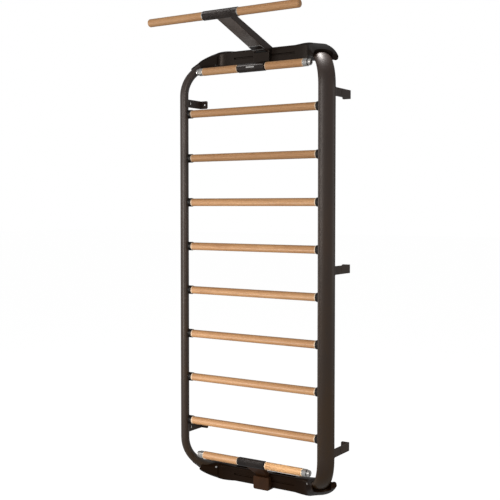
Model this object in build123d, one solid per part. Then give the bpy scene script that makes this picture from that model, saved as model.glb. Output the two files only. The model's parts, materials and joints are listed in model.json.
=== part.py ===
"""Wall bars with a folding pull-up arm and two grip bars with revolving wooden grips.

Millimetres, +Z up, +X to the climber's right, +Y towards the wall. The origin is on the wall
plane, in the middle of the four corner screw holes, which is also mid-height of the rungs.
"""
from math import cos, radians, sin, sqrt
import os

from build123d import *

# ---------------------------------------------------------------- driving dimensions, mm
RUNG_Y = -182.0                 # plane of the rungs and uprights; the wall is at Y = 0
EDGE = 0.5                      # small chamfer on machined edges
PAST = 1.0                      # a cutter runs this far past the faces that it cuts

UPRIGHT_X = 406.0               # centreline of each upright from the middle
TUBE_A, TUBE_B = 41.5, 20.5     # half axes of the oval tube
TUBE_WALL = 2.5
STRAIGHT_HALF = 862.0           # the uprights are straight between plus and minus this height
BEND_R = 158.0                  # centreline radius of the bends, towards the middle and the wall
TUBE_STUB = 13.0                # straight stretch past each bend, inside the crossbar

RUNG_COUNT, RUNG_PITCH = 8, 220.0
RUNG_R = 19.0
RUNG_END_X = 371.0              # where the wood ends, inside its ferrule
RUNG_CHAMFER = 1.2
FERRULE_R, FERRULE_MOUTH_X, FERRULE_ROUND = 21.6, 356.5, 1.0
SET_SCREW_R, SET_SCREW_X, SET_SCREW_DEPTH = 3.0, 363.0, 9.0
SET_SCREW_SUNK = 0.6            # its end lies this far below the ferrule's surface

# socket at each end of a crossbar: rounded sections that follow the upright's bend
SOCKET_FRONT = 47.0             # front side, from the tube's centreline along its long axis
# bend angle; reach inside, outside and behind the tube's centreline; corner radius
SOCKET_SECTIONS = ((40.0, 4.0, 28.0, 68.0, 12.0), (60.0, 5.0, 30.0, 69.0, 13.0),
                   (75.0, 16.0, 39.0, 67.0, 19.0), (90.0, 25.0, 56.0, 61.0, 28.0))
MOUTH_ANGLE, MOUTH_TILT = 56.5, 13.0
ARCH_ANGLE, ARCH_A, ARCH_B = 57.0, 44.5, 34.0       # arched opening in the mouth's outer wall
RELIEF_ANGLE, RELIEF_A, RELIEF_B = 74.0, 1.5, 5.0   # the mouth is this much wider than the tube

BEAM_FRONT, BEAM_BACK = RUNG_Y + 104.0, RUNG_Y + 150.0
BEAM_LOW, BEAM_HIGH = 1008.0, 1080.5
BEAM_HALF, BEAM_CORNER, BEAM_WALL = 175.0, 9.0, 5.0
SHOULDER_WALL = 8.0             # solid metal at each end of the hollow beam
SHOULDER_X, SHOULDER_GROWTH = 240.0, 5.0    # the beam is this much fuller near each socket
GROOVE_H, GROOVE_DEPTH, GROOVE_Z, GROOVE_CORNER = 9.0, 6.0, 1043.0, 4.0

SOCKET_BOLT_SHORT, SOCKET_BOLT_IN = 6.0, 5.0    # before the bend's end, inside the centreline
BOLT_R, BOLT_HEAD_R, BOLT_HEAD_H, BOLT_CROWN_R = 3.0, 5.5, 3.5, 2.0
BOLT_INSIDE = 12.0              # from the tube's narrow side to the shank's end
SPOT_FACE_GAP, SPOT_FACE_REACH = 0.5, 20.0
TROUGH_W, TROUGH_DEPTH, TROUGH_CORNER = 22.0, 14.0, 4.0     # channel along each beam's inner side

# centre blocks
BLOCK_HALF = 45.0
BLOCK_FRONT = RUNG_Y + 79.0
BLOCK_EDGE, BLOCK_LOW_CORNER = 2.5, 9.0
BLOCK_SETBACK = 4.0             # of the bottom block, from the beam's back
BOTTOM_BLOCK_LOW, BOTTOM_BLOCK_HIGH = -1090.0, -1026.0
TOP_BLOCK_LOW, TOP_BLOCK_HIGH = 1009.0, 1063.0
NOTCH_FLOOR = 1026.0            # the top beam is cut away above this height for the arm's seat
CHEEK_SETBACK, CHEEK_ABOVE, CHEEK_AHEAD = 1.0, 13.0, 14.0   # from the beam's back, the pin, the pin
SEAT_START, SEAT_END, SEAT_OPEN = -30.0, 140.0, 60.0        # along the arm from the pin, and above it

# folding arm: a tapered box that turns about a pin at the back of the top block
ARM_RISE = 18.3                 # degrees above level when in use
PIVOT_Y, PIVOT_Z = RUNG_Y + 124.0, 1064.0
ARM_HALF_W, ARM_GAP, ARM_WALL, ARM_EDGE = 38.7, 0.4, 3.0, 2.5
ARM_BASE_H, ARM_TIP_H = 19.0, 15.0      # half heights
ARM_TAPER_START = 60.0          # from the pivot
ARM_REACH = 392.0               # from the pivot to inside the pull-up sleeve's line
ARM_HUB = 28.0                  # solid stretch round the pivot
ARM_END_WALL = 22.0             # solid stretch at the tip
PIN_R, PIN_CLEAR = 6.0, 0.05
PAD_T = 3.0                     # rubber pad that the arm rests on
PAD_NEAR, PAD_FAR, PAD_HALF_W, PAD_EDGE = 24.0, 50.0, 30.0, 0.8

WINDOW_NEAR, WINDOW_LONG, WINDOW_WIDE, WINDOW_CORNER = 64.0, 36.0, 63.0, 6.0
BEZEL_RIM, BEZEL_T = 5.5, 2.0
PADDLE_GAP, PADDLE_T, PADDLE_PROUD = 0.6, 5.0, 0.5
RIB_HEIGHT, RIB_SETBACK, RIB_HALF_W = 8.0, 6.0, 20.0

# pull-up bar across the arm's end
PULL_Y, PULL_Z = RUNG_Y - 261.0, 1183.6
PULL_HALF = 416.2
HANDLE_R, HANDLE_ROUND = 19.0, 9.0
SLEEVE_HALF, SLEEVE_R = 93.5, 21.5
FLUTES, FLUTE_R, FLUTE_OUT, FLUTE_MARGIN = 28, 1.6, 0.5, 6.0
RING_T, RING_R = 4.0, 20.2
CORE_R, CORE_WALL, CORE_HALF = 14.0, 3.0, 400.0

# grip bars
TOP_GRIP_Z, BOTTOM_GRIP_Z = 973.5, -939.0
AXLE_R, AXLE_HALF = 8.0, 318.0
HOUSING_R, HOUSING_HALF, HOUSING_ROUND = 21.0, 74.0, 1.5
PANEL_W, PANEL_H, PANEL_DEPTH, PANEL_CORNER = 64.0, 13.0, 0.8, 3.0
SPACER_R, SPACER_T = 16.5, 5.0
NECK_WIDE, NECK_NARROW, NECK_THICK, NECK_THIN, NECK_CORNER = 104.0, 66.0, 27.0, 24.0, 8.0
NECK_IN, NECK_OFF = 1.0, 7.0    # its end's middle: behind the beam's front, and off the block
GRIP_R, GRIP_START, GRIP_END, GRIP_BORE_R, GRIP_CHAMFER = 19.0, 79.5, 285.0, 10.0, 1.0
BUSH_R, BUSH_T, BUSH_CLEAR = 12.0, 22.0, 0.05
COLLAR_END, COLLAR_R, COLLAR_BORE_R, COLLAR_ROUND = 307.0, 18.5, 9.0, 1.2
WASHER_R = 13.0
KNOB_R, KNOB_START, KNOB_END, KNOB_ROUND, KNOB_EDGE = 15.5, 310.6, 325.0, 7.0, 1.0
CAP_R, CAP_T = 5.0, 2.0
RUN_GAP = 0.3                   # between turning and still faces

# wall brackets
STRAP_T, STRAP_HALF_H = 5.0, 20.0
STRAP_START = RUNG_Y + 10.0     # before it is cut to the tube
STRAP_X = 436.0                 # outer face of the strap
FLANGE_REACH, WALL_HOLE_X, WALL_HOLE_R = 44.0, 409.0, 4.5
FLANGE_CORNER = 7.0             # at the tip
CORNER_BRACKET_Z, MIDDLE_BRACKET_Z = 834.0, 15.0
SLOT_Y, SLOT_W, SLOT_H = RUNG_Y + 89.0, 8.0, 18.0

ROOT_HALF = sqrt(0.5)
LONG_WAY = Vector(ROOT_HALF, ROOT_HALF, 0)      # the right oval's long axis
OUTWARD = Vector(ROOT_HALF, -ROOT_HALF, 0)      # from the bend's centre to the straight tube
BEND_CENTRE = Vector(UPRIGHT_X, RUNG_Y, STRAIGHT_HALF) - OUTWARD * BEND_R
BEND_AXIS = Axis(BEND_CENTRE, -LONG_WAY)


# ---------------------------------------------------------------- helpers
def mirror_x(shape):
    """The same shape on the other side of the middle."""
    return mirror(shape, about=Plane.YZ)


def mirror_z(shape):
    """The same shape at the other end of the frame."""
    return mirror(shape, about=Plane.XY)


def solid_box(x, y, z):
    """A box between three pairs of limits."""
    size = [abs(pair[1] - pair[0]) for pair in (x, y, z)]
    middle = [(pair[0] + pair[1]) / 2 for pair in (x, y, z)]
    return Pos(*middle) * Box(*size)


def rod_x(radius, start, end, y, z):
    """A cylinder along X between two stations."""
    return extrude(Plane((start, y, z), z_dir=(1, 0, 0)) * Circle(radius), amount=end - start)


def pipe_x(outer, inner, start, end, y, z):
    """A round tube along X between two stations."""
    return rod_x(outer, start, end, y, z) - rod_x(inner, start - PAST, end + PAST, y, z)


def arm_plane(along, x=0.0):
    """A plane square to X in the arm's own directions, at a distance from the pivot."""
    rise = radians(ARM_RISE)
    origin = (x, PIVOT_Y - along * cos(rise), PIVOT_Z + along * sin(rise))
    return Plane(origin, x_dir=(0, -cos(rise), sin(rise)), z_dir=(-1, 0, 0))


def arm_slab(along, height, half_width):
    """A box in the arm's directions: limits along it and across its height."""
    width, tall = along[1] - along[0], height[1] - height[0]
    outline = Pos(along[0] + width / 2, height[0] + tall / 2) * Rectangle(width, tall)
    return extrude(arm_plane(0, half_width) * outline, amount=2 * half_width)


# ---------------------------------------------------------------- frame
def oval_bar(a, b, stub=TUBE_STUB):
    """The right upright's shape for one pair of half axes: straight, a bend and a stub."""
    foot = Plane((UPRIGHT_X, RUNG_Y, -STRAIGHT_HALF), x_dir=LONG_WAY, z_dir=(0, 0, 1))
    straight = extrude(foot * Ellipse(a, b), amount=2 * STRAIGHT_HALF)
    section = foot.offset(2 * STRAIGHT_HALF) * Ellipse(a, b)
    bend = revolve(section, axis=BEND_AXIS, revolution_arc=90)
    end = Plane(bend_point(90), x_dir=LONG_WAY, z_dir=-OUTWARD)
    bend += extrude(end * Ellipse(a, b), amount=stub)
    return straight + bend + mirror_z(bend)


def bend_radial(angle):
    """Unit vector from the bend's centre outwards, where the bend has turned by an angle."""
    return OUTWARD * cos(radians(angle)) + Vector(0, 0, sin(radians(angle)))


def bend_along(angle):
    """Unit vector along the top bend towards the crossbar, at an angle."""
    return Vector(0, 0, cos(radians(angle))) - OUTWARD * sin(radians(angle))


def bend_point(angle):
    """A point of the top bend's centreline."""
    return BEND_CENTRE + bend_radial(angle) * BEND_R


def socket_bolt(radius, start, end):
    """A cylinder on the socket bolt's line, between two distances from the tube's centreline."""
    middle = (bend_point(90) + OUTWARD * SOCKET_BOLT_SHORT - LONG_WAY * start
              - Vector(0, 0, SOCKET_BOLT_IN))
    return extrude(Plane(middle, z_dir=-LONG_WAY) * Circle(radius), amount=end - start)


def make_socket_bolt():
    """Button-head bolt through the socket's front side into the tube's end."""
    shank = socket_bolt(BOLT_R, TUBE_A - BOLT_INSIDE, SOCKET_FRONT)
    head = socket_bolt(BOLT_HEAD_R, SOCKET_FRONT, SOCKET_FRONT + BOLT_HEAD_H)
    crown = head.edges().filter_by(GeomType.CIRCLE).sort_by(Axis(bend_point(90), -LONG_WAY))[-1]
    return shank + fillet(crown, BOLT_CROWN_R)


def make_upright():
    """Right upright: hollow oval tube with a bolt hole near each end."""
    tube = oval_bar(TUBE_A, TUBE_B)
    tube -= oval_bar(TUBE_A - TUBE_WALL, TUBE_B - TUBE_WALL, TUBE_STUB + PAST)
    hole = socket_bolt(BOLT_R, 0, TUBE_A + PAST)
    return tube - hole - mirror_z(hole)


def socket_section(angle, inner, crown, back, corner):
    """The socket's section at a bend angle: a rounded box from the inner side to the crown."""
    middle = (bend_point(angle) + bend_radial(angle) * ((crown - inner) / 2)
              + LONG_WAY * ((back - SOCKET_FRONT) / 2))
    plane = Plane(middle, x_dir=LONG_WAY, z_dir=bend_along(angle))
    return plane * RectangleRounded(SOCKET_FRONT + back, inner + crown, corner)


def beam_section(x, way, growth=0.0):
    """The beam's rounded section at a station along X, grown by an amount on each side."""
    middle_y, middle_z = (BEAM_FRONT + BEAM_BACK) / 2, (BEAM_LOW + BEAM_HIGH) / 2
    plane = Plane((x, middle_y, middle_z), x_dir=(0, 1, 0), z_dir=(way, 0, 0))
    return plane * RectangleRounded(BEAM_BACK - BEAM_FRONT + 2 * growth,
                                    BEAM_HIGH - BEAM_LOW + 2 * growth, BEAM_CORNER + growth)


def mouth_plane(angle):
    """A plane across the socket, parallel to its mouth, through the bend at an angle."""
    tilt = radians(MOUTH_TILT)
    normal = bend_along(MOUTH_ANGLE) * cos(tilt) + LONG_WAY * sin(tilt)
    return Plane(bend_point(angle), z_dir=normal)


def mouth_relief():
    """The gap between the right tube and the rim of the top socket's mouth."""
    wider = oval_bar(TUBE_A + RELIEF_A, TUBE_B + RELIEF_B)
    top = split(wider, bisect_by=Plane((0, 0, STRAIGHT_HALF)))
    return split(top, bisect_by=mouth_plane(RELIEF_ANGLE), keep=Keep.BOTTOM)


def make_socket(tube):
    """Right top socket: hugs the outside of the bend, thickens and flows into the beam."""
    sections = [socket_section(*values) for values in SOCKET_SECTIONS]
    shoulder = beam_section(SHOULDER_X, -1, SHOULDER_GROWTH)
    socket = loft(sections) + loft([sections[-1], shoulder, beam_section(BEAM_HALF, -1)])
    socket = split(socket - tube, bisect_by=mouth_plane(MOUTH_ANGLE)) - mouth_relief()
    arch = Plane(bend_point(ARCH_ANGLE), x_dir=LONG_WAY, z_dir=bend_radial(ARCH_ANGLE))
    socket -= extrude(arch * Ellipse(ARCH_A, ARCH_B), amount=TUBE_A)
    socket -= socket_bolt(BOLT_R, 0, SOCKET_FRONT + PAST)
    spot_face = socket_bolt(BOLT_HEAD_R + SPOT_FACE_GAP, SOCKET_FRONT, SOCKET_FRONT + SPOT_FACE_REACH)
    return socket - spot_face


def beam_channel(y, z, across, up, corner):
    """A rounded cutter along the whole beam."""
    start = Plane((-BEAM_HALF, y, z), x_dir=(0, 1, 0), z_dir=(1, 0, 0))
    return extrude(start * RectangleRounded(across, up, corner), amount=2 * BEAM_HALF)


def make_crossbar(tube):
    """Top crossbar: a beam with a grooved front and a channel below, and a socket at each end."""
    beam = extrude(beam_section(-BEAM_HALF, 1), amount=2 * BEAM_HALF)
    socket = make_socket(tube)
    bar = beam + socket + mirror_x(socket)
    bar -= beam_channel(BEAM_FRONT, GROOVE_Z, 2 * GROOVE_DEPTH, GROOVE_H, GROOVE_CORNER)
    trough = beam_channel((BEAM_FRONT + BEAM_BACK) / 2, BEAM_LOW, TROUGH_W, 2 * TROUGH_DEPTH,
                          TROUGH_CORNER)
    return bar - (trough - solid_box((-BLOCK_HALF, BLOCK_HALF), (BEAM_FRONT, BEAM_BACK),
                                     (BEAM_LOW, BEAM_HIGH)))


def hollow(bar, inner_limit):
    """Takes out the beam's inside between the middle web and each shoulder."""
    for side in (-1, 1):
        bar -= solid_box((side * inner_limit, side * (BEAM_HALF - SHOULDER_WALL)),
                         (BEAM_FRONT + GROOVE_DEPTH + BEAM_WALL, BEAM_BACK - BEAM_WALL),
                         (BEAM_LOW + TROUGH_DEPTH + BEAM_WALL, BEAM_HIGH - BEAM_WALL))
    return bar


# ---------------------------------------------------------------- rungs
def rung_heights():
    """Heights of the rungs, from the lowest to the highest."""
    return [(i - (RUNG_COUNT - 1) / 2) * RUNG_PITCH for i in range(RUNG_COUNT)]


def set_screw(height):
    """Grub screw through the back of a right ferrule into the wood."""
    start = Plane((SET_SCREW_X, RUNG_Y + FERRULE_R - SET_SCREW_DEPTH, height), z_dir=(0, 1, 0))
    return extrude(start * Circle(SET_SCREW_R), amount=SET_SCREW_DEPTH - SET_SCREW_SUNK)


def screw_way(height):
    """The hole that a right set screw lies in."""
    start = Plane((SET_SCREW_X, RUNG_Y + FERRULE_R - SET_SCREW_DEPTH, height), z_dir=(0, 1, 0))
    return extrude(start * Circle(SET_SCREW_R), amount=SET_SCREW_DEPTH + PAST)


def make_rung(height):
    """Turned wooden rung."""
    rung = rod_x(RUNG_R, -RUNG_END_X, RUNG_END_X, RUNG_Y, height)
    rung = chamfer(rung.edges().filter_by(GeomType.CIRCLE), RUNG_CHAMFER)
    way = screw_way(height)
    return rung - way - mirror_x(way)


def make_ferrule(height, tube):
    """Right ferrule: a cup on the tube's inner side that the rung's end sits in."""
    cup = rod_x(FERRULE_R, FERRULE_MOUTH_X, UPRIGHT_X, RUNG_Y, height)
    rim = cup.edges().filter_by(GeomType.CIRCLE).sort_by(Axis.X)[0]
    cup = fillet(rim, FERRULE_ROUND)
    cup -= rod_x(RUNG_R, FERRULE_MOUTH_X - PAST, RUNG_END_X, RUNG_Y, height)
    cup = cup - screw_way(height) - tube
    return cup.solids().sort_by(Axis.X)[0]


# ---------------------------------------------------------------- centre blocks
def beam_envelope():
    """The top beam's outer shape near the middle."""
    return solid_box((-NECK_WIDE, NECK_WIDE), (BEAM_FRONT, BEAM_BACK + PAST), (BEAM_LOW, BEAM_HIGH))


def make_bottom_block():
    """Bottom block: hugs the front and the underside of the bottom beam."""
    block = solid_box((-BLOCK_HALF, BLOCK_HALF), (BLOCK_FRONT, BEAM_BACK - BLOCK_SETBACK),
                      (BOTTOM_BLOCK_LOW, BOTTOM_BLOCK_HIGH))
    low_edges = block.edges().filter_by(Axis.Y).group_by(Axis.Z)[0]
    block = fillet(low_edges, BLOCK_LOW_CORNER)
    front = block.faces().sort_by(Axis.Y)[0].edges()
    return fillet(front, BLOCK_EDGE) - mirror_z(beam_envelope())


def pin_way(radius):
    """The hole for the hinge pin, right through the block or the arm."""
    return rod_x(radius, -BLOCK_HALF - PAST, BLOCK_HALF + PAST, PIVOT_Y, PIVOT_Z)


def make_top_block():
    """Top block: seat of the folding arm, with a cheek on each side that holds the pin."""
    side = Plane((BLOCK_HALF, 0, 0), x_dir=(0, 1, 0), z_dir=(1, 0, 0))
    back, top = BEAM_BACK - CHEEK_SETBACK, PIVOT_Z + CHEEK_ABOVE
    outline = Polyline(
        (BLOCK_FRONT, TOP_BLOCK_LOW), (BEAM_FRONT, TOP_BLOCK_LOW), (BEAM_FRONT, NOTCH_FLOOR),
        (back, NOTCH_FLOOR), (back, top), (PIVOT_Y - CHEEK_AHEAD, top),
        (BLOCK_FRONT, TOP_BLOCK_HIGH), close=True)
    block = extrude(side * make_face(outline), amount=-2 * BLOCK_HALF)
    block = fillet(block.faces().sort_by(Axis.Y)[0].edges(), BLOCK_EDGE)
    block -= arm_slab((SEAT_START, SEAT_END), (-ARM_BASE_H - PAD_T - RUN_GAP, SEAT_OPEN),
                      ARM_HALF_W + ARM_GAP)
    return block - pin_way(PIN_R)


def make_rest_pad():
    """Rubber pad on the seat's floor."""
    pad = arm_slab((PAD_NEAR, PAD_FAR), (-ARM_BASE_H - PAD_T - RUN_GAP, -ARM_BASE_H - RUN_GAP),
                   PAD_HALF_W)
    return fillet(pad.edges().group_by(Axis.Z)[-1], PAD_EDGE)


# ---------------------------------------------------------------- folding arm
def arm_outline(inset, tip):
    """Side outline of the arm, drawn in by an amount, from the tail to a reach."""
    base, end = ARM_BASE_H - inset, ARM_TIP_H - inset
    return make_face(Polyline((0, -base), (ARM_TAPER_START, -base), (tip, -end), (tip, end),
                              (ARM_TAPER_START, base), (0, base), close=True))


def make_arm():
    """Tapered box with a round tail at the pivot and a window for the release paddle."""
    side = arm_plane(0, ARM_HALF_W)
    arm = extrude(side * arm_outline(0, ARM_REACH), amount=2 * ARM_HALF_W)
    tail, tip = PIVOT_Y - EDGE, arm_plane(ARM_REACH).origin.Y + ARM_TIP_H
    long_edges = [edge for edge in arm.edges().filter_by(Plane.YZ) if tip < edge.center().Y < tail]
    arm = fillet(long_edges, ARM_EDGE)
    arm += extrude(side * Circle(ARM_BASE_H), amount=2 * ARM_HALF_W)
    inner = arm_outline(ARM_WALL, ARM_REACH - ARM_END_WALL)
    inside = extrude(arm_plane(0, ARM_HALF_W - ARM_WALL) * inner, amount=2 * (ARM_HALF_W - ARM_WALL))
    inside -= arm_slab((-PAST, ARM_HUB), (-ARM_BASE_H, ARM_BASE_H), ARM_HALF_W)
    arm -= inside + window_cutter(0, (-ARM_BASE_H - PAST, 0))
    arm -= pin_way(PIN_R + PIN_CLEAR)
    return arm - rod_x(SLEEVE_R, -BLOCK_HALF, BLOCK_HALF, PULL_Y, PULL_Z)


def window_cutter(margin, height):
    """Rounded window in the arm's underside, grown by a margin."""
    middle = WINDOW_NEAR + WINDOW_LONG / 2
    rise = radians(ARM_RISE)
    floor = Plane((0, PIVOT_Y - middle * cos(rise), PIVOT_Z + middle * sin(rise)),
                  x_dir=(1, 0, 0), z_dir=(0, sin(rise), cos(rise)))
    outline = RectangleRounded(WINDOW_WIDE + 2 * margin, WINDOW_LONG + 2 * margin,
                               WINDOW_CORNER + margin)
    return extrude(floor.offset(height[0]) * outline, amount=height[1] - height[0])


def underside(along):
    """Height of the arm's underside from its centreline, at a distance past the taper's start."""
    drop = (ARM_BASE_H - ARM_TIP_H) / (ARM_REACH - ARM_TAPER_START)
    return -(ARM_BASE_H - (along - ARM_TAPER_START) * drop)


def make_bezel(arm):
    """Bright steel rim round the window, on the arm's underside."""
    rim = window_cutter(BEZEL_RIM, (-ARM_BASE_H - BEZEL_T, -ARM_TIP_H))
    rim = rim - window_cutter(0, (-ARM_BASE_H - BEZEL_T - PAST, 0)) - arm
    return rim.solids().sort_by(Axis.Z)[0]


def make_paddle():
    """Release paddle: a plate in the window with a stiffening rib behind it."""
    low = underside(WINDOW_NEAR + WINDOW_LONG / 2) - PADDLE_PROUD
    plate = window_cutter(-PADDLE_GAP, (low, low + PADDLE_T))
    rib = arm_slab((WINDOW_NEAR + RIB_SETBACK, WINDOW_NEAR + WINDOW_LONG - RIB_SETBACK),
                   (low + PADDLE_T, low + PADDLE_T + RIB_HEIGHT), RIB_HALF_W)
    return plate + rib


def make_pin():
    """Hinge pin, pressed into both cheeks."""
    pin = rod_x(PIN_R, -BLOCK_HALF + EDGE, BLOCK_HALF - EDGE, PIVOT_Y, PIVOT_Z)
    return chamfer(pin.edges().filter_by(GeomType.CIRCLE), EDGE)


# ---------------------------------------------------------------- pull-up bar
def make_sleeve():
    """Fluted middle sleeve."""
    sleeve = pipe_x(SLEEVE_R, CORE_R, -SLEEVE_HALF, SLEEVE_HALF, PULL_Y, PULL_Z)
    start = Plane((-SLEEVE_HALF + FLUTE_MARGIN, PULL_Y, PULL_Z), z_dir=(1, 0, 0))
    for place in PolarLocations(SLEEVE_R + FLUTE_OUT, FLUTES):
        sleeve -= extrude(start * place * Circle(FLUTE_R), amount=2 * (SLEEVE_HALF - FLUTE_MARGIN))
    return sleeve


def make_handle():
    """Right wooden handle: bored for the core tube, with a rounded closed end."""
    handle = rod_x(HANDLE_R, SLEEVE_HALF + RING_T, PULL_HALF, PULL_Y, PULL_Z)
    end = handle.edges().filter_by(GeomType.CIRCLE).sort_by(Axis.X)[-1]
    handle = fillet(end, HANDLE_ROUND)
    near = handle.edges().filter_by(GeomType.CIRCLE).sort_by(Axis.X)[0]
    handle = chamfer(near, RUNG_CHAMFER)
    return handle - rod_x(CORE_R, 0, CORE_HALF, PULL_Y, PULL_Z)


def make_ring():
    """Right light ring between the sleeve and the handle."""
    ring = pipe_x(RING_R, CORE_R, SLEEVE_HALF, SLEEVE_HALF + RING_T, PULL_Y, PULL_Z)
    return chamfer(ring.edges().filter_by(GeomType.CIRCLE).group_by(SortBy.RADIUS)[-1], EDGE)


# ---------------------------------------------------------------- grip bars
def make_housing(z):
    """Middle housing of a grip bar, with a blank shallow panel on its front."""
    housing = rod_x(HOUSING_R, -HOUSING_HALF, HOUSING_HALF, RUNG_Y, z)
    housing = fillet(housing.edges().filter_by(GeomType.CIRCLE), HOUSING_ROUND)
    front = Plane((0, RUNG_Y - HOUSING_R + PANEL_DEPTH, z), x_dir=(1, 0, 0), z_dir=(0, -1, 0))
    housing -= extrude(front * RectangleRounded(PANEL_W, PANEL_H, PANEL_CORNER), amount=PANEL_DEPTH + PAST)
    return housing - rod_x(AXLE_R, -HOUSING_HALF - PAST, HOUSING_HALF + PAST, RUNG_Y, z)


def make_neck(z, block_z, neighbours):
    """Tapered neck from the block's inner side to the housing."""
    block_y = BEAM_FRONT + NECK_IN
    way = Vector(0, block_y - RUNG_Y, block_z - z).normalized()
    at_housing = Plane((0, RUNG_Y, z), x_dir=(1, 0, 0), z_dir=way)
    at_block = Plane((0, block_y, block_z), x_dir=(1, 0, 0), z_dir=way)
    neck = loft([at_housing * RectangleRounded(NECK_WIDE, NECK_THICK, NECK_CORNER),
                 at_block * RectangleRounded(NECK_NARROW, NECK_THIN, NECK_CORNER)])
    neck -= rod_x(HOUSING_R, -HOUSING_HALF, HOUSING_HALF, RUNG_Y, z)
    for neighbour in neighbours:
        neck -= neighbour
    return neck


def make_grip(z):
    """Right wooden grip: bored for its two bushes and clear of the axle between them."""
    grip = rod_x(GRIP_R, GRIP_START, GRIP_END, RUNG_Y, z)
    grip = chamfer(grip.edges().filter_by(GeomType.CIRCLE), GRIP_CHAMFER)
    start, end = GRIP_START - PAST, GRIP_END + PAST
    grip -= rod_x(GRIP_BORE_R, start, end, RUNG_Y, z)
    grip -= rod_x(BUSH_R, start, GRIP_START + BUSH_T, RUNG_Y, z)
    return grip - rod_x(BUSH_R, GRIP_END - BUSH_T, end, RUNG_Y, z)


def make_bushes(z):
    """Right grip's two bearing bushes."""
    inner = AXLE_R + BUSH_CLEAR
    return [pipe_x(BUSH_R, inner, start, start + BUSH_T, RUNG_Y, z)
            for start in (GRIP_START, GRIP_END - BUSH_T)]


def make_collar(z):
    """Right chrome collar on the grip's outer end; it turns with the wood."""
    collar = rod_x(COLLAR_R, GRIP_END, COLLAR_END, RUNG_Y, z)
    collar = fillet(collar.edges().filter_by(GeomType.CIRCLE), COLLAR_ROUND)
    return collar - rod_x(COLLAR_BORE_R, GRIP_END - PAST, COLLAR_END + PAST, RUNG_Y, z)


def make_spacer(z):
    """Right dark spacer between the housing and the grip."""
    return pipe_x(SPACER_R, AXLE_R, HOUSING_HALF, HOUSING_HALF + SPACER_T, RUNG_Y, z)


def make_washer(z):
    """Right dark washer between the collar and the end knob."""
    return pipe_x(WASHER_R, AXLE_R, COLLAR_END + RUN_GAP, KNOB_START, RUNG_Y, z)


def make_knob(z):
    """Right end knob, screwed on to the axle, with a rounded end."""
    knob = rod_x(KNOB_R, KNOB_START, KNOB_END, RUNG_Y, z)
    rims = knob.edges().filter_by(GeomType.CIRCLE).sort_by(Axis.X)
    knob = fillet(rims[-1], KNOB_ROUND)
    knob = fillet(knob.edges().filter_by(GeomType.CIRCLE).sort_by(Axis.X)[0], KNOB_EDGE)
    knob -= rod_x(AXLE_R, KNOB_START - PAST, AXLE_HALF, RUNG_Y, z)
    return knob - rod_x(CAP_R, KNOB_END - CAP_T, KNOB_END + PAST, RUNG_Y, z)


def make_cap(z):
    """Right small cap in the knob's end."""
    cap = rod_x(CAP_R, KNOB_END - CAP_T, KNOB_END, RUNG_Y, z)
    return chamfer(cap.edges().filter_by(GeomType.CIRCLE).sort_by(Axis.X)[-1], EDGE)


# ---------------------------------------------------------------- wall brackets
def make_bracket(height, tube):
    """Right bracket: strap from the tube's back to the wall, and a flange bent inwards."""
    low, high = height - STRAP_HALF_H, height + STRAP_HALF_H
    strap = solid_box((STRAP_X - STRAP_T, STRAP_X), (STRAP_START, 0), (low, high))
    hole_plane = Plane((WALL_HOLE_X, 0, height), x_dir=(1, 0, 0), z_dir=(0, -1, 0))
    flange = solid_box((STRAP_X - FLANGE_REACH, STRAP_X), (-STRAP_T, 0), (low, high))
    tip = flange.edges().filter_by(Axis.Y).group_by(Axis.X)[0]
    bracket = strap + fillet(tip, FLANGE_CORNER)
    bend = bracket.edges().filter_by(Axis.Z).group_by(Axis.Y)[-1].sort_by(Axis.X)[-1]
    bracket = fillet(bend, STRAP_T)
    bracket -= extrude(hole_plane * Circle(WALL_HOLE_R), amount=STRAP_T)
    slot = Plane((STRAP_X, SLOT_Y, height), x_dir=(0, 0, 1), z_dir=(-1, 0, 0))
    bracket -= extrude(slot * SlotOverall(SLOT_H, SLOT_W), amount=STRAP_T)
    return (bracket - tube).solids().sort_by(Axis.Y)[-1]


# ---------------------------------------------------------------- assembly
def grip_bar_nodes(name, z, block_z, neighbours):
    """All the pieces of one grip bar, by node name."""
    nodes = {
        f"{name}_grip_housing": make_housing(z),
        f"{name}_grip_neck": make_neck(z, block_z, neighbours),
        f"{name}_grip_axle": rod_x(AXLE_R, -AXLE_HALF, AXLE_HALF, RUNG_Y, z),
        f"{name}_grip_spacers": both_sides(make_spacer(z)),
        f"{name}_grip_washers": both_sides(make_washer(z)),
        f"{name}_end_knobs": both_sides(make_knob(z)),
        f"{name}_end_caps": both_sides(make_cap(z)),
    }
    right = {"grip": make_grip(z), "collar": make_collar(z), "bushes": make_bushes(z)}
    for piece, shape in right.items():
        shapes = shape if isinstance(shape, list) else [shape]
        nodes[f"{name}_right_{piece}"] = group(shapes)
        nodes[f"{name}_left_{piece}"] = group([mirror_x(one) for one in shapes])
    return nodes


def group(shapes):
    """Separate solids kept together in one node."""
    solids = [solid for shape in shapes for solid in shape.solids()]
    return solids[0] if len(solids) == 1 else Compound(children=solids)


def both_sides(shape):
    """A right piece and its mirror image, as one group."""
    return group([shape, mirror_x(shape)])


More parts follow.
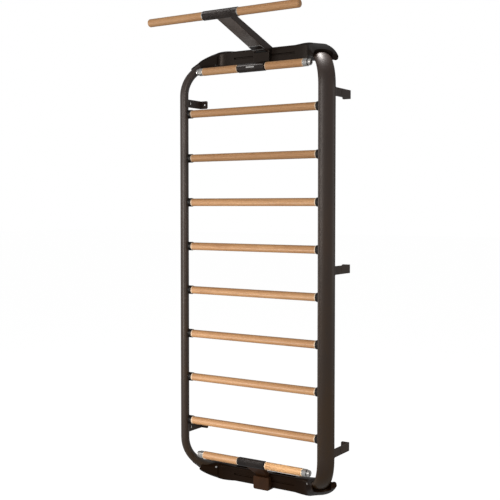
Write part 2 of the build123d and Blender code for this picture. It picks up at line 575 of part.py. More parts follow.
def build_nodes():
    """Every node of the wall bars, by name."""
    tube = oval_bar(TUBE_A, TUBE_B)
    upright = make_upright()
    crossbar = make_crossbar(tube)
    bottom_block, top_block = make_bottom_block(), make_top_block()
    notch = solid_box((-BLOCK_HALF, BLOCK_HALF), (BEAM_FRONT - PAST, BEAM_BACK + PAST),
                      (NOTCH_FLOOR, BEAM_HIGH + PAST))
    nodes = {
        "upright_right": upright,
        "upright_left": mirror_x(upright),
        "top_crossbar": hollow(crossbar - notch, BLOCK_HALF + BEAM_WALL),
        "bottom_crossbar": mirror_z(hollow(crossbar, 0)),
        "top_block": top_block,
        "bottom_block": bottom_block,
    }
    bolt = make_socket_bolt()
    nodes["top_socket_bolts"] = both_sides(bolt)
    nodes["bottom_socket_bolts"] = both_sides(mirror_z(bolt))
    ferrules, screws = [], []
    for number, height in enumerate(rung_heights(), start=1):
        nodes[f"rung_{number}"] = make_rung(height)
        ferrule, screw = make_ferrule(height, tube), set_screw(height)
        ferrules += [ferrule, mirror_x(ferrule)]
        screws += [screw, mirror_x(screw)]
    nodes["rung_ferrules"] = group(ferrules)
    nodes["rung_set_screws"] = group(screws)
    for name, height in (("top", CORNER_BRACKET_Z), ("bottom", -CORNER_BRACKET_Z)):
        bracket = make_bracket(height, tube)
        nodes[f"bracket_{name}_right"] = bracket
        nodes[f"bracket_{name}_left"] = mirror_x(bracket)
    nodes["bracket_middle_right"] = make_bracket(MIDDLE_BRACKET_Z, tube)
    nodes |= grip_bar_nodes("top", TOP_GRIP_Z, TOP_BLOCK_LOW - NECK_OFF,
                            (top_block, beam_envelope()))
    nodes |= grip_bar_nodes("bottom", BOTTOM_GRIP_Z, BOTTOM_BLOCK_HIGH + NECK_OFF,
                            (bottom_block, mirror_z(beam_envelope())))
    arm = make_arm()
    nodes["pull_up_arm"] = arm
    nodes["arm_hinge_pin"] = make_pin()
    nodes["arm_rest_pad"] = make_rest_pad()
    nodes["release_bezel"] = make_bezel(arm)
    nodes["release_paddle"] = make_paddle()
    nodes["pull_up_core"] = pipe_x(CORE_R, CORE_R - CORE_WALL, -CORE_HALF, CORE_HALF,
                                   PULL_Y, PULL_Z)
    nodes["pull_up_sleeve"] = make_sleeve()
    nodes["pull_up_rings"] = both_sides(make_ring())
    nodes["handle_right"] = make_handle()
    nodes["handle_left"] = mirror_x(make_handle())
    return nodes


os.makedirs("parts", exist_ok=True)
for node_name, node_shape in build_nodes().items():
    node_shape.label = node_name
    export_step(node_shape, f"parts/{node_name}.step")
    print(node_name, round(node_shape.volume / 1000, 1), "cm3")
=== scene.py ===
# Looks of the wall bars: materials for every node, welds, sockets in the screws, a blank badge,
# a pale floor, soft light and the camera. Metres, in the frame's own axes: +Z up, +Y to the wall.
import json
from math import ceil, cos, pi, radians, sin

import bmesh
import bpy
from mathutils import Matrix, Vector
from mathutils.bvhtree import BVHTree


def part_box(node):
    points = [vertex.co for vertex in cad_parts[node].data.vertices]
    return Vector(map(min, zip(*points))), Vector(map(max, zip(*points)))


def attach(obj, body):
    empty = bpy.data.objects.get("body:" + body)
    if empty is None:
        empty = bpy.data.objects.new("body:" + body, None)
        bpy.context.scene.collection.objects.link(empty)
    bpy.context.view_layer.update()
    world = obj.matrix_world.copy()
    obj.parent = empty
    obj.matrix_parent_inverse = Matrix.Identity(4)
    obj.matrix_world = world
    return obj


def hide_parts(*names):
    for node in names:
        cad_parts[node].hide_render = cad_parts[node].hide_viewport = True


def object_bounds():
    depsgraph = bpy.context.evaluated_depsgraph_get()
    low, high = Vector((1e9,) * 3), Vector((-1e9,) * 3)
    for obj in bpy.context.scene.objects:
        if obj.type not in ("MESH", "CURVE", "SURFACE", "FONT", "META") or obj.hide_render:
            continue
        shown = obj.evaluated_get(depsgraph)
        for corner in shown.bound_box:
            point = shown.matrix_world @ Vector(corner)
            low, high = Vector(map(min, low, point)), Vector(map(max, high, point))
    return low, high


# ---------------------------------------------------------------- camera and light
# The camera's turn away from looking straight at the wall, and its dip below level, in degrees.
CAMERA_PLACE = Vector((2.4538, -3.9679, 0.3130))
CAMERA_TURN, CAMERA_DIP = 33.079, 2.340
LENS, SENSOR, SHIFT_Y = 67.48, 36.0, -0.012
FAR_CLIP = 200.0

FLOOR_DROP, FLOOR_HALF = 0.10, 40.0         # below the object; half the floor's side
FLOOR_COLOR, FLOOR_GLOW = 0.30, 0.90

# The sky's strength from the viewer's side, from the wall's side and from above and below, and as
# the camera sees it.
SKY_FRONT, SKY_BEHIND, SKY_SEEN = 0.45, 0.27, 1.0
SKY_TURNS = (-0.6, 0.9)                     # y + |z| of a direction: all front, and all behind

LOW_WOOD = ("bottom_left_grip",) + tuple(f"rung_{number}" for number in range(1, 7))
PLASTIC = ("pull_up_sleeve", "top_grip_housing", "bottom_grip_housing")
# name, place, point aimed at, (width, length), power in watts, colour, nodes lit (none named: all)
SOFTBOXES = (
    ("key_light", (0.7, -4.6, 1.2), (0.0, -0.2, 0.0), (2.0, 2.0), 76.0, (1.0, 0.95, 0.90), ()),
    ("left_light", (-3.0, -2.2, 0.2), (0.0, -0.2, 0.0), (0.8, 2.4), 44.0, (1.0, 0.97, 0.93), ()),
    ("right_light", (3.4, 1.0, 0.2), (0.3, -0.2, 0.0), (0.8, 2.4), 12.0, (1.0, 1.0, 1.0), ()),
    ("line_light", (-1.75, -1.45, 3.4), (0.0, -0.3, 1.05), (0.9, 1.6), 24.0, (1.0, 0.96, 0.93),
     PLASTIC),
    ("bend_light", (0.0, 0.26, 2.5), (0.36, -0.15, 1.0), (0.3, 0.9), 40.0, (1.0, 0.95, 0.92),
     ("upright_right",)),
    ("arm_light", (-1.2, 0.95, -0.3), (0.0, -0.25, 1.13), (1.2, 1.2), 4.2, (1.0, 0.94, 0.88),
     ("pull_up_arm",)),
    ("rung_light", (-0.9, -1.8, -0.9), (-0.1, -0.18, -0.6), (0.5, 0.5), 21.0, (1.0, 0.98, 0.95),
     LOW_WOOD),
)
LOW_SPOT_PLACE, LOW_SPOT_AIM = (0.30, -1.50, -0.35), (0.17, -0.18, -0.91)
LOW_SPOT_POWER, LOW_SPOT_COLOR = 100.0, (0.93, 1.0, 0.98)
LOW_SPOT_ANGLE, LOW_SPOT_BLEND, LOW_SPOT_SOFT = 20.0, 0.8, 0.12     # degrees; share; radius
LOW_SPOT_LIT = ("bottom_right_grip", "bottom_right_collar")

# ---------------------------------------------------------------- sizes that the pieces need
RUNGS = 8
STRAP_T = 0.005                 # thickness of the bracket straps
CREASE = 40.0                   # degrees between faces that stay a crisp edge
BRACKET_BEAD_R, FERRULE_BEAD_R = 0.0021, 0.0011
BEAD_SIDES, BEAD_STEP = 8, 0.0012
RIPPLE_PITCH, RIPPLE_DEPTH = 0.0036, 0.12   # of a weld bead: length of one ripple, share of radius

SCREW_SIDES = 48
HEX_SIDE_STEP = pi / 3
DRILL_TIP_R, DRILL_TIP_DEPTH = 0.45, 0.5    # of the point below a socket, in socket half-widths
SAME_LEVEL, SAME_POINT = 1e-5, 1e-6         # closer than this is one height, or one point
BUTTON_R, BUTTON_H, BOLT_R = 0.0055, 0.0035, 0.003
BUTTON_DOME = 0.85                          # share of the head's height that is domed
BUTTON_ANGLES = (34, 46, 58, 70, 80, 90)    # degrees from the head's middle to its rim
BUTTON_STEP = 0.0001                        # from the head's height to where the shank starts
BOLT_KEY, BOLT_KEY_DEPTH, BOLT_LEAD = 0.0020, 0.0022, 0.0002
GRUB_R, GRUB_LEAD = 0.003, 0.0003
GRUB_KEY, GRUB_KEY_DEPTH = 0.0015, 0.0026

BADGE_LONG, BADGE_TALL, BADGE_THICK, BADGE_CORNER = 0.046, 0.0062, 0.0006, 0.0016
PANEL_DEPTH = 0.0008            # of the recess in a grip housing's front

# Stretches of |x| where the wood beside a joint is pale and raw.
RUNG_PALE = ((0.3500, 0.3567),)
GRIP_PALE = ((0.0790, 0.0830), (0.2815, 0.2855))
HANDLE_PALE = ((0.0970, 0.1000),)

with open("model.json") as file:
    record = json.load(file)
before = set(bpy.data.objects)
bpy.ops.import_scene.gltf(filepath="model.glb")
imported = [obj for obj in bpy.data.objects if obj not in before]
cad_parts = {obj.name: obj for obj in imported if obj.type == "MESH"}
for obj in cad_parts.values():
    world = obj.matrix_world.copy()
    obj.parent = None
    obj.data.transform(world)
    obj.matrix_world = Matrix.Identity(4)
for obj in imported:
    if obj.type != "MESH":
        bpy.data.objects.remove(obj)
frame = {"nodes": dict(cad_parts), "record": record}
cad_low, cad_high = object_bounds()
nodes = frame["nodes"]


# ---------------------------------------------------------------- material building
EDGE_DOTS = (0.94, 0.995)       # cosine of the turn across a bevel: a full edge, and none


class Shading:
    """One material, with short calls that add and join its nodes."""

    def __init__(self, name, roughness, metallic=0.0):
        self.material = bpy.data.materials.new(name)
        self.material.use_nodes = True
        self.tree = self.material.node_tree
        self.shader = self.tree.nodes["Principled BSDF"]
        self.shader.inputs["Roughness"].default_value = roughness
        self.shader.inputs["Metallic"].default_value = metallic
        self.place = self.add("ShaderNodeTexCoord").outputs["Object"]

    def add(self, kind, **settings):
        """A new node with its settings."""
        node = self.tree.nodes.new(kind)
        for key, value in settings.items():
            setattr(node, key, value)
        return node

    def join(self, value, socket):
        """Links an output to a socket, or sets the socket's own value."""
        if isinstance(value, bpy.types.NodeSocket):
            self.tree.links.new(value, socket)
        else:
            socket.default_value = value

    def set(self, name, value):
        """Gives one of the shader's sockets a value or a link."""
        self.join(value, self.shader.inputs[name])

    def stretched(self, stretch, offset=(0, 0, 0)):
        """The place, scaled along each axis."""
        node = self.add("ShaderNodeMapping")
        self.join(self.place, node.inputs["Vector"])
        node.inputs["Scale"].default_value = stretch
        node.inputs["Location"].default_value = offset
        return node.outputs["Vector"]

    def noise(self, stretch, detail=3.0, rough=0.5, distortion=0.0, offset=(0, 0, 0)):
        """Noise with so many features to the metre along each axis, from 0 to 1."""
        node = self.add("ShaderNodeTexNoise")
        self.join(self.stretched(stretch, offset), node.inputs["Vector"])
        node.inputs["Scale"].default_value = 1.0
        node.inputs["Detail"].default_value = detail
        node.inputs["Roughness"].default_value = rough
        node.inputs["Distortion"].default_value = distortion
        return node.outputs["Fac"]

    def rings(self, stretch, scale, distortion, offset=(0, 0, 0)):
        """Growth rings about an axis along X."""
        node = self.add("ShaderNodeTexWave", wave_type="RINGS", rings_direction="X",
                        wave_profile="SAW")
        self.join(self.stretched(stretch, offset), node.inputs["Vector"])
        node.inputs["Scale"].default_value = scale
        node.inputs["Distortion"].default_value = distortion
        node.inputs["Detail"].default_value = 2.0
        node.inputs["Detail Scale"].default_value = 1.2
        return node.outputs["Fac"]

    def spread(self, value, low, high, new_low=0.0, new_high=1.0):
        """Maps a span of a value smoothly on to another, and holds it beyond the ends."""
        node = self.add("ShaderNodeMapRange", interpolation_type="SMOOTHSTEP")
        self.join(value, node.inputs["Value"])
        node.inputs["From Min"].default_value = low
        node.inputs["From Max"].default_value = high
        node.inputs["To Min"].default_value = new_low
        node.inputs["To Max"].default_value = new_high
        return node.outputs["Result"]

    def math(self, operation, first, second=0.0):
        """The result of one sum on two values."""
        node = self.add("ShaderNodeMath", operation=operation)
        self.join(first, node.inputs[0])
        self.join(second, node.inputs[1])
        return node.outputs["Value"]

    def mix(self, factor, first, second):
        """A blend from a first colour, at 0, to a second, at 1."""
        node = self.add("ShaderNodeMix", data_type="RGBA")
        self.join(factor, node.inputs["Factor"])
        self.join(first, node.inputs["A"])
        self.join(second, node.inputs["B"])
        return node.outputs["Result"]

    def axis(self, name):
        """One coordinate of the place."""
        node = self.add("ShaderNodeSeparateXYZ")
        self.join(self.place, node.inputs["Vector"])
        return node.outputs[name]

    def edges(self, radius):
        """1 along sharp edges and 0 on flat or gently curved ground."""
        bevel = self.add("ShaderNodeBevel", samples=4)
        bevel.inputs["Radius"].default_value = radius
        geometry = self.add("ShaderNodeNewGeometry")
        dot = self.add("ShaderNodeVectorMath", operation="DOT_PRODUCT")
        self.join(bevel.outputs["Normal"], dot.inputs[0])
        self.join(geometry.outputs["Normal"], dot.inputs[1])
        return self.spread(dot.outputs["Value"], *EDGE_DOTS, 1.0, 0.0)

    def bump(self, height, strength, distance, under=None):
        """The surface's direction over raised and sunk ground, on top of another bump."""
        node = self.add("ShaderNodeBump")
        node.inputs["Strength"].default_value = strength
        node.inputs["Distance"].default_value = distance
        self.join(height, node.inputs["Height"])
        if under is not None:
            self.join(under, node.inputs["Normal"])
        return node.outputs["Normal"]


def opaque(color):
    """A colour with its alpha."""
    return (*color, 1.0)


# ---------------------------------------------------------------- materials
OAK_EARLY, OAK_LATE = (0.505, 0.262, 0.112), (0.385, 0.179, 0.068)
OAK_LIGHT, OAK_FIBRE = (0.575, 0.325, 0.148), (0.590, 0.340, 0.158)
OAK_STREAK, OAK_PORE = (0.290, 0.130, 0.052), (0.190, 0.085, 0.035)
OAK_PALE, OAK_WORN = (0.80, 0.66, 0.50), (0.66, 0.47, 0.29)
PALE_SHARE, PALE_FADE = 0.75, 0.25      # how far to the pale colour; each end's share that fades


def make_oak(name, pale_spans):
    """Light oiled oak with its grain along X, raw and pale on the given stretches of |x|."""
    oak = Shading(name, 0.48)
    rings = oak.rings((0.16, 1.0, 1.0), 46.0, 7.0)
    tone = oak.noise((2.2, 26.0, 26.0), detail=3.0, distortion=0.6)
    fibre = oak.noise((14.0, 620.0, 620.0), detail=4.0, rough=0.62)
    pores = oak.noise((55.0, 1500.0, 1500.0), detail=2.0)
    streaks = oak.noise((3.0, 210.0, 210.0), detail=2.0, offset=(0.3, 0.0, 0.0))
    color = oak.mix(oak.spread(rings, 0.15, 0.95), opaque(OAK_EARLY), opaque(OAK_LATE))
    color = oak.mix(oak.spread(tone, 0.34, 0.68, 0.0, 0.55), color, opaque(OAK_LIGHT))
    color = oak.mix(oak.spread(streaks, 0.52, 0.72, 0.0, 0.50), color, opaque(OAK_STREAK))
    color = oak.mix(oak.spread(fibre, 0.40, 0.64, 0.0, 0.38), color, opaque(OAK_FIBRE))
    color = oak.mix(oak.spread(pores, 0.60, 0.70, 0.0, 0.65), color, opaque(OAK_PORE))
    away = oak.math("ABSOLUTE", oak.axis("X"))
    for low, high in pale_spans:
        soft = (high - low) * PALE_FADE
        rise = oak.spread(away, low, low + soft)
        fall = oak.spread(away, high - soft, high, 1.0, 0.0)
        pale = oak.math("MULTIPLY", oak.math("MULTIPLY", rise, fall), PALE_SHARE)
        color = oak.mix(pale, color, opaque(OAK_PALE))
    worn = oak.math("MULTIPLY", oak.edges(0.0012), 0.5)
    color = oak.mix(worn, color, opaque(OAK_WORN))
    oak.set("Base Color", color)
    oak.set("Roughness", oak.spread(fibre, 0.3, 0.7, 0.40, 0.58))
    oak.set("Coat Weight", 0.10)
    oak.set("Coat Roughness", 0.30)
    coarse = oak.bump(rings, 0.10, 0.0006)
    fine = oak.bump(fibre, 0.28, 0.0004, coarse)
    oak.set("Normal", oak.bump(pores, 0.30, 0.0003, fine))
    return oak.material


def make_coat(name, upper, lower, edge, roughness, peel=0.16, wear=0.55, gloss=0.5,
              tint=(1.0, 1.0, 1.0)):
    """Satin powder coat: an orange-peel skin, fine grit, slow mottling and rubbed edges.
    The upper and lower colours are those at the object's top and bottom; a lower colour warmer than
    the upper one is a painted warm floor bounce, so that blend is painted light."""
    coat = Shading(name, roughness)
    coat.shader.inputs["Specular IOR Level"].default_value = gloss
    coat.shader.inputs["Specular Tint"].default_value = opaque(tint)
    # Painted light: the colour blends up the height from the lower colour, which carries a painted
    # warm floor bounce, to the upper one.
    height = coat.spread(coat.axis("Z"), cad_low.z, cad_high.z)
    color = coat.mix(height, opaque(lower), opaque(upper))
    mottle = coat.noise((9.0, 9.0, 4.0), detail=4.0, rough=0.6)
    shade = tuple(channel * 0.62 for channel in upper)
    color = coat.mix(coat.spread(mottle, 0.38, 0.66, 0.0, 0.55), color, opaque(shade))
    grit = coat.noise((2600.0, 2600.0, 2600.0), detail=1.0)
    light = tuple(min(1.0, channel * 1.9) for channel in upper)
    color = coat.mix(coat.spread(grit, 0.60, 0.74, 0.0, 0.40), color, opaque(light))
    patches = coat.noise((160.0, 160.0, 60.0), detail=3.0, rough=0.7)
    rubbed = coat.math("MULTIPLY", coat.edges(0.0022), coat.spread(patches, 0.36, 0.62, 0.25, 1.0))
    color = coat.mix(coat.math("MULTIPLY", rubbed, wear), color, opaque(edge))
    coat.set("Base Color", color)
    smooth = coat.spread(mottle, 0.3, 0.7, roughness - 0.05, roughness + 0.07)
    coat.set("Roughness", coat.math("SUBTRACT", smooth, coat.math("MULTIPLY", rubbed, 0.10)))
    skin = coat.noise((420.0, 420.0, 420.0), detail=2.0)
    under = coat.bump(skin, peel, 0.0006)
    coat.set("Normal", coat.bump(grit, 0.18, 0.00025, under))
    return coat.material


def make_plastic(name, color, roughness, grain=1400.0, depth=0.22):
    """Moulded plastic or rubber with a fine leathery grain and rubbed, smoother high spots."""
    plastic = Shading(name, roughness)
    texture = plastic.noise((grain, grain, grain), detail=2.0, rough=0.55)
    cloud = plastic.noise((22.0, 22.0, 22.0), detail=4.0)
    lighter = tuple(min(1.0, channel * 2.1 + 0.006) for channel in color)
    cloudy = plastic.spread(cloud, 0.36, 0.70, 0.0, 0.45)
    shade = plastic.mix(cloudy, opaque(color), opaque(lighter))
    worn = plastic.edges(0.0012)
    shade = plastic.mix(plastic.math("MULTIPLY", worn, 0.4), shade, opaque(lighter))
    plastic.set("Base Color", shade)
    plastic.set("Roughness", plastic.spread(cloud, 0.3, 0.7, roughness - 0.06, roughness + 0.08))
    plastic.set("Normal", plastic.bump(texture, depth, 0.0003))
    return plastic.material


def make_metal(name, color, low, high, lines=900.0, depth=0.08, tarnish=0.35):
    """Turned or brushed bare metal: fine rings across X, faint scratches and slow tarnish."""
    metal = Shading(name, low, metallic=1.0)
    turned = metal.noise((lines, 12.0, 12.0), detail=3.0, rough=0.65)
    scratches = metal.noise((60.0, 1300.0, 240.0), detail=2.0, distortion=0.4)
    cloud = metal.noise((34.0, 34.0, 34.0), detail=4.0, rough=0.6)
    dull = tuple(channel * 0.66 for channel in color)
    tarnished = metal.spread(cloud, 0.42, 0.74, 0.0, tarnish)
    shade = metal.mix(tarnished, opaque(color), opaque(dull))
    metal.set("Base Color", shade)
    rough = metal.spread(turned, 0.3, 0.7, low, high)
    marks = metal.spread(scratches, 0.64, 0.72, 0.0, 0.12)
    metal.set("Roughness", metal.math("ADD", rough, marks))
    metal.set("Normal", metal.bump(turned, depth, 0.0002))
    return metal.material


# The looks of the record's slots, apart from oak, which paint_nodes makes for each kind of wood.
# Each coat's lower colour, warmer than its upper one, holds painted warm floor-bounce light.
materials = {
    "frame_paint": make_coat("frame_paint_look", (0.042, 0.026, 0.020), (0.044, 0.020, 0.003),
                             (0.085, 0.070, 0.060), 0.40),
    "casting_paint": make_coat("casting_paint_look", (0.012, 0.008, 0.006), (0.016, 0.006, 0.002),
                               (0.040, 0.032, 0.027), 0.36, peel=0.22, wear=0.3, gloss=0.27,
                               tint=(1.0, 0.86, 0.76)),
    "black_steel": make_coat("black_steel_look", (0.010, 0.008, 0.007), (0.012, 0.008, 0.006),
                             (0.10, 0.09, 0.08), 0.32, peel=0.10),
    "chrome": make_metal("chrome_look", (0.80, 0.78, 0.75), 0.10, 0.18, depth=0.05, tarnish=0.2),
    "bright_steel": make_metal("bright_steel_look", (0.66, 0.65, 0.63), 0.24, 0.40, depth=0.12),
    "black_plastic": make_plastic("black_plastic_look", (0.012, 0.007, 0.005), 0.28, depth=0.10),
    "black_rubber": make_plastic("black_rubber_look", (0.012, 0.012, 0.012), 0.72, 900.0, 0.35),
    "brass_bush": make_metal("brass_bush_look", (0.62, 0.44, 0.20), 0.28, 0.42),
}


def paint_nodes():
    """Gives each CAD node the look of its slot in the record, or its own variant of it: the
    variants are a painted-light copy of the casting paint on the bottom block and its neck, and a
    painted-shade copy on the bottom crossbar.
    """
    # Painted light: a lighter, browner copy of the casting paint, standing for the light the bottom
    # block and its neck catch.
    painted_light_block = make_coat("painted_light_block_look", (0.03, 0.02, 0.015), (0.070, 0.027, 0.010),
                            (0.060, 0.040, 0.030), 0.42, peel=0.22, wear=0.3, gloss=0.2,
                            tint=(1.0, 0.80, 0.65))
    # Painted shade: a darker, warmer copy of the casting paint, with a warmer tint, standing for
    # the shade and warm bounce on the bottom crossbar.
    painted_shade_casting = make_coat("painted_shade_casting_look", (0.012, 0.005, 0.003), (0.012, 0.004, 0.001),
                            (0.030, 0.020, 0.014), 0.36, peel=0.22, wear=0.3, gloss=0.2,
                            tint=(1.0, 0.74, 0.55))
    variants = {"bottom_block": painted_light_block, "bottom_grip_neck": painted_light_block,
                "bottom_crossbar": painted_shade_casting}
    oaks = {"rung": make_oak("rung_oak_look", RUNG_PALE),
            "grip": make_oak("grip_oak_look", GRIP_PALE),
            "handle": make_oak("handle_oak_look", HANDLE_PALE)}
    for part in frame["record"]["subparts"]:
        name, slot = part["node"], part["material_slot"]
        if slot == "oak":
            look = next(look for kind, look in oaks.items() if kind in name)
        else:
            look = variants.get(name, materials[slot])
        node = nodes[name]
        if not node.material_slots:
            node.data.materials.append(look)
        for place in node.material_slots:
            place.material = look


# ---------------------------------------------------------------- pieces
def finish_piece(mesh, name, body, slot):
    """Makes an object of a bmesh, smooth-shaded with crisp edges, riding on a body."""
    bmesh.ops.recalc_face_normals(mesh, faces=mesh.faces)
    data = bpy.data.meshes.new(name)
    mesh.to_mesh(data)
    mesh.free()
    data.shade_smooth()
    data.set_sharp_from_angle(angle=radians(CREASE))
    data.materials.append(materials[slot])
    piece = bpy.data.objects.new(name, data)
    bpy.context.scene.collection.objects.link(piece)
    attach(piece, body)
    return piece


def skin_rings(mesh, rings, close_along=False, cap=False):
    """Faces between rings of points, each ring closed round."""
    rows = [[mesh.verts.new(point) for point in ring] for ring in rings]
    pairs = list(zip(rows, rows[1:]))
    if close_along:
        pairs.append((rows[-1], rows[0]))
    for row, following in pairs:
        for i in range(len(row)):
            j = (i + 1) % len(row)
            mesh.faces.new((row[i], row[j], following[j], following[i]))
    if cap:
        mesh.faces.new(rows[0])
        mesh.faces.new(rows[-1])


def add_bead(mesh, path, radius, facing):
    """A rippled weld bead along a closed path, which nowhere runs in the facing direction."""
    rings, length = [], 0.0
    for i, point in enumerate(path):
        before, after = path[i - 1], path[(i + 1) % len(path)]
        along = (after - before).normalized()
        side = along.cross(facing).normalized()
        across = along.cross(side)
        swell = radius * (1 + RIPPLE_DEPTH * sin(2 * pi * length / RIPPLE_PITCH))
        rings.append([point + (side * cos(turn) + across * sin(turn)) * swell
                      for turn in (2 * pi * k / BEAD_SIDES for k in range(BEAD_SIDES))])
        length += (after - point).length
    skin_rings(mesh, rings, close_along=True)


def even_loop(corners, step):
    """Points at even steps round a closed loop of corners."""
    points = []
    for i, start in enumerate(corners):
        end = corners[(i + 1) % len(corners)]
        count = max(1, ceil((end - start).length / step))
        points += [start.lerp(end, k / count) for k in range(count)]
    return points


def tree_of(name):
    """A search tree of a CAD node's surface."""
    data = nodes[name].data
    return BVHTree.FromPolygons([v.co for v in data.vertices], [p.vertices for p in data.polygons])


def dropped(points, tree, way):
    """Each point moved along a direction on to a surface; points that miss it are left out."""
    hits = [tree.ray_cast(point, way)[0] for point in points]
    return [hit for hit in hits if hit is not None]


def make_bracket_welds(side, tree):
    """Weld beads where each strap of one side meets its upright."""
    mesh = bmesh.new()
    sign = 1 if side == "right" else -1
    for name in sorted(n for n in nodes if n.startswith("bracket") and n.endswith(side)):
        low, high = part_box(name)
        outer = high.x if sign > 0 else low.x
        inner = outer - sign * STRAP_T
        start_y = (low.y + high.y) / 2
        corners = [Vector((outer, start_y, low.z)), Vector((outer, start_y, high.z)),
                   Vector((inner, start_y, high.z)), Vector((inner, start_y, low.z))]
        way = Vector((0, -1, 0))
        add_bead(mesh, dropped(even_loop(corners, BEAD_STEP), tree, way), BRACKET_BEAD_R, way)
    finish_piece(mesh, f"bracket_welds_{side}", "frame", "frame_paint")


def make_ferrule_welds(side, tree):
    """Thin beads where the rung ferrules of one side meet the upright."""
    mesh = bmesh.new()
    way = Vector((1 if side == "right" else -1, 0, 0))
    ferrules_low, ferrules_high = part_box("rung_ferrules")
    radius = (ferrules_high.y - ferrules_low.y) / 2
    turns = ceil(2 * pi * radius / BEAD_STEP)
    for number in range(1, RUNGS + 1):
        rung_low, rung_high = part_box(f"rung_{number}")
        middle = (rung_low + rung_high) / 2
        circle = [middle + way * (rung_high.x / 2) + Vector((0, cos(turn), sin(turn))) * radius
                  for turn in (2 * pi * k / turns for k in range(turns))]
        add_bead(mesh, dropped(circle, tree, way), FERRULE_BEAD_R, way)
    finish_piece(mesh, f"ferrule_welds_{side}", "frame", "black_steel")


def islands(name):
    """The separate solids of a CAD node, each as a list of its points."""
    mesh = bmesh.new()
    mesh.from_mesh(nodes[name].data)
    bmesh.ops.remove_doubles(mesh, verts=mesh.verts, dist=SAME_POINT)
    found, seen = [], set()
    for seed in mesh.verts:
        if seed in seen:
            continue
        stack, group = [seed], []
        seen.add(seed)
        while stack:
            vertex = stack.pop()
            group.append(vertex.co.copy())
            for edge in vertex.link_edges:
                other = edge.other_vert(vertex)
                if other not in seen:
                    seen.add(other)
                    stack.append(other)
        found.append(group)
    mesh.free()
    return found


def hex_radius(turn, half_across):
    """Distance from a hexagon's middle to its side, in a direction."""
    return half_across / cos((turn % HEX_SIDE_STEP) - HEX_SIDE_STEP / 2)


def add_screw(mesh, points, way, profile, key, key_depth, lead):
    """A turned screw with a hexagon socket, in the place of a CAD solid's points. The profile is
    (radius, distance below the top), and lead is the width of its bevels."""
    top = max(point.dot(way) for point in points)
    low = min(point.dot(way) for point in points)
    shank = [point for point in points if point.dot(way) < low + SAME_LEVEL]
    middle = sum(shank, Vector()) / len(shank)
    middle += way * (top - middle.dot(way))
    side = way.orthogonal().normalized()
    across = way.cross(side)
    turns = [2 * pi * k / SCREW_SIDES for k in range(SCREW_SIDES)]

    def ring(radius_at, depth):
        return [middle - way * depth + (side * cos(turn) + across * sin(turn)) * radius_at(turn)
                for turn in turns]

    length = top - low
    rings = [ring(lambda turn: profile[-1][0] - lead, length),
             ring(lambda turn: profile[-1][0], length - lead)]
    rings += [ring(lambda turn, radius=radius: radius, depth)
              for radius, depth in reversed(profile)]
    rings.append(ring(lambda turn: hex_radius(turn, key + lead), profile[0][1]))
    rings.append(ring(lambda turn: hex_radius(turn, key), profile[0][1] + lead))
    rings.append(ring(lambda turn: hex_radius(turn, key), key_depth))
    rings.append(ring(lambda turn: hex_radius(turn, key) * DRILL_TIP_R,
                      key_depth + key * DRILL_TIP_DEPTH))
    skin_rings(mesh, rings, cap=True)


def make_socket_bolts(end, slot):
    """Button-head bolts of one crossbar, in place of the plain CAD ones."""
    name = f"{end}_socket_bolts"
    dome = [(BUTTON_R * sin(turn), BUTTON_H * BUTTON_DOME * (1 - cos(turn)))
            for turn in (radians(angle) for angle in BUTTON_ANGLES)]
    profile = dome + [(BUTTON_R, BUTTON_H), (BOLT_R, BUTTON_H + BUTTON_STEP)]
    mesh = bmesh.new()
    for points in islands(name):
        middle = sum(points, Vector()) / len(points)
        way = Vector((-1 if middle.x > 0 else 1, -1, 0)).normalized()
        add_screw(mesh, points, way, profile, BOLT_KEY, BOLT_KEY_DEPTH, BOLT_LEAD)
    bolts = finish_piece(mesh, f"{end}_button_bolts", "frame", slot)
    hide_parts(name)


def make_set_screws():
    """Grub screws of the ferrules, in place of the plain CAD ones."""
    profile = [(GRUB_R - GRUB_LEAD, 0.0), (GRUB_R, GRUB_LEAD)]
    mesh = bmesh.new()
    for points in islands("rung_set_screws"):
        add_screw(mesh, points, Vector((0, 1, 0)), profile, GRUB_KEY, GRUB_KEY_DEPTH, GRUB_LEAD / 2)
    screws = finish_piece(mesh, "grub_screws", "frame", "bright_steel")
    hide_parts("rung_set_screws")


def rounded_loop(long, tall, corner, per_corner=6):
    """A rounded rectangle's points in the XZ plane about the origin."""
    points = []
    for quarter, (sx, sz) in enumerate(((1, 1), (-1, 1), (-1, -1), (1, -1))):
        middle = Vector((sx * (long / 2 - corner), 0, sz * (tall / 2 - corner)))
        for k in range(per_corner + 1):
            turn = (quarter + k / per_corner) * pi / 2
            points.append(middle + Vector((cos(turn), 0, sin(turn))) * corner)
    return points


def make_badge():
    """Small blank plate in the recess of the top grip housing, with a bevelled rim."""
    low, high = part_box("top_grip_housing")
    floor = Vector(((low.x + high.x) / 2, low.y + PANEL_DEPTH, (low.z + high.z) / 2))
    bevel = BADGE_THICK * 0.5
    mesh = bmesh.new()
    rings = []
    for inset, rise in ((0.0, 0.0), (0.0, BADGE_THICK - bevel), (bevel, BADGE_THICK)):
        loop = rounded_loop(BADGE_LONG - 2 * inset, BADGE_TALL - 2 * inset, BADGE_CORNER - inset)
        rings.append([floor + point - Vector((0, rise, 0)) for point in loop])
    skin_rings(mesh, rings, cap=True)
    finish_piece(mesh, "blank_badge", "frame", "bright_steel")


def make_pieces():
    """All the pieces that the CAD model leaves to this script."""
    for side in ("right", "left"):
        tree = tree_of(f"upright_{side}")
        make_bracket_welds(side, tree)
        make_ferrule_welds(side, tree)
    make_socket_bolts("top", "black_steel")
    make_socket_bolts("bottom", "bright_steel")
    make_set_screws()
    make_badge()


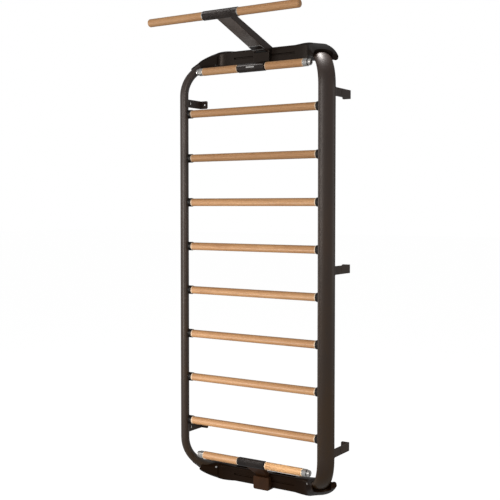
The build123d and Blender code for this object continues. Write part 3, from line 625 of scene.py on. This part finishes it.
# ---------------------------------------------------------------- studio
def make_floor():
    """Plain pale floor below the object."""
    size, height = FLOOR_HALF, cad_low.z - FLOOR_DROP
    mesh = bmesh.new()
    corners = [mesh.verts.new((x * size, y * size, height))
               for x, y in ((-1, -1), (1, -1), (1, 1), (-1, 1))]
    mesh.faces.new(corners)
    data = bpy.data.meshes.new("floor")
    mesh.to_mesh(data)
    mesh.free()
    look = bpy.data.materials.new("floor_look")
    look.use_nodes = True
    shader = look.node_tree.nodes["Principled BSDF"]
    shader.inputs["Base Color"].default_value = opaque((FLOOR_COLOR,) * 3)
    shader.inputs["Roughness"].default_value = 1.0
    shader.inputs["Specular IOR Level"].default_value = 0.0
    shader.inputs["Emission Color"].default_value = opaque((1.0, 1.0, 1.0))
    shader.inputs["Emission Strength"].default_value = FLOOR_GLOW
    data.materials.append(look)
    floor = bpy.data.objects.new("floor", data)
    floor.visible_diffuse = False       # it glows, and isn't to light the object from below
    floor.visible_glossy = False
    bpy.context.scene.collection.objects.link(floor)


def make_sky():
    """White surroundings, brighter on the viewer's side, that the camera sees at one strength."""
    world = bpy.data.worlds.new("studio")
    bpy.context.scene.world = world
    world.use_nodes = True
    tree = world.node_tree

    def add(kind, links, **settings):
        """A node with its settings, and an output linked to each named or numbered input."""
        node = tree.nodes.new(kind)
        for key, value in settings.items():
            setattr(node, key, value)
        for socket, output in links.items():
            tree.links.new(output, node.inputs[socket])
        return node

    way = add("ShaderNodeTexCoord", {})
    parts = add("ShaderNodeSeparateXYZ", {"Vector": way.outputs["Generated"]})
    tall = add("ShaderNodeMath", {0: parts.outputs["Z"]}, operation="ABSOLUTE")
    both = add("ShaderNodeMath", {0: parts.outputs["Y"], 1: tall.outputs["Value"]}, operation="ADD")
    light = add("ShaderNodeMapRange", {"Value": both.outputs["Value"]})
    light.inputs["From Min"].default_value, light.inputs["From Max"].default_value = SKY_TURNS
    light.inputs["To Min"].default_value = SKY_FRONT
    light.inputs["To Max"].default_value = SKY_BEHIND
    path = add("ShaderNodeLightPath", {})
    strength = add("ShaderNodeMapRange", {"Value": path.outputs["Is Camera Ray"],
                                          "To Min": light.outputs["Result"]})
    strength.inputs["To Max"].default_value = SKY_SEEN
    background = tree.nodes["Background"]
    background.inputs["Color"].default_value = opaque((1.0, 1.0, 1.0))
    tree.links.new(strength.outputs["Result"], background.inputs["Strength"])


def hang_light(data, place, aim, lit):
    """Puts a light at a place, turned to a point, to light the named nodes, or everything."""
    light = bpy.data.objects.new(data.name, data)
    light.location = place
    light.rotation_euler = (Vector(aim) - Vector(place)).to_track_quat("-Z", "Y").to_euler()
    light.visible_camera = False
    bpy.context.scene.collection.objects.link(light)
    if lit:
        receivers = bpy.data.collections.new(f"lit_by_{data.name}")
        for name in lit:
            receivers.objects.link(nodes[name])
        light.light_linking.receiver_collection = receivers


def make_lights():
    """The soft boxes, and a small spot on the lower right grip."""
    for name, place, aim, (width, length), power, color, lit in SOFTBOXES:
        data = bpy.data.lights.new(name, "AREA")
        data.shape = "RECTANGLE"
        data.size, data.size_y = width, length
        data.energy = power
        data.color = color
        hang_light(data, place, aim, lit)
    spot = bpy.data.lights.new("low_spot", "SPOT")
    spot.spot_size, spot.spot_blend = radians(LOW_SPOT_ANGLE), LOW_SPOT_BLEND
    spot.shadow_soft_size = LOW_SPOT_SOFT
    spot.energy = LOW_SPOT_POWER
    spot.color = LOW_SPOT_COLOR
    hang_light(spot, LOW_SPOT_PLACE, LOW_SPOT_AIM, LOW_SPOT_LIT)


def make_camera():
    """A camera to the right of the object and a little above its middle, dipped a little."""
    data = bpy.data.cameras.new("camera")
    data.sensor_width = SENSOR
    data.lens = LENS
    data.shift_y = SHIFT_Y
    data.clip_end = FAR_CLIP
    camera = bpy.data.objects.new("camera", data)
    camera.location = CAMERA_PLACE
    camera.rotation_euler = (radians(90 - CAMERA_DIP), 0.0, radians(CAMERA_TURN))
    bpy.context.scene.collection.objects.link(camera)
    bpy.context.scene.camera = camera


make_camera()
paint_nodes()
make_pieces()
make_floor()
make_sky()
make_lights()
bpy.context.scene.view_settings.view_transform = "Standard"
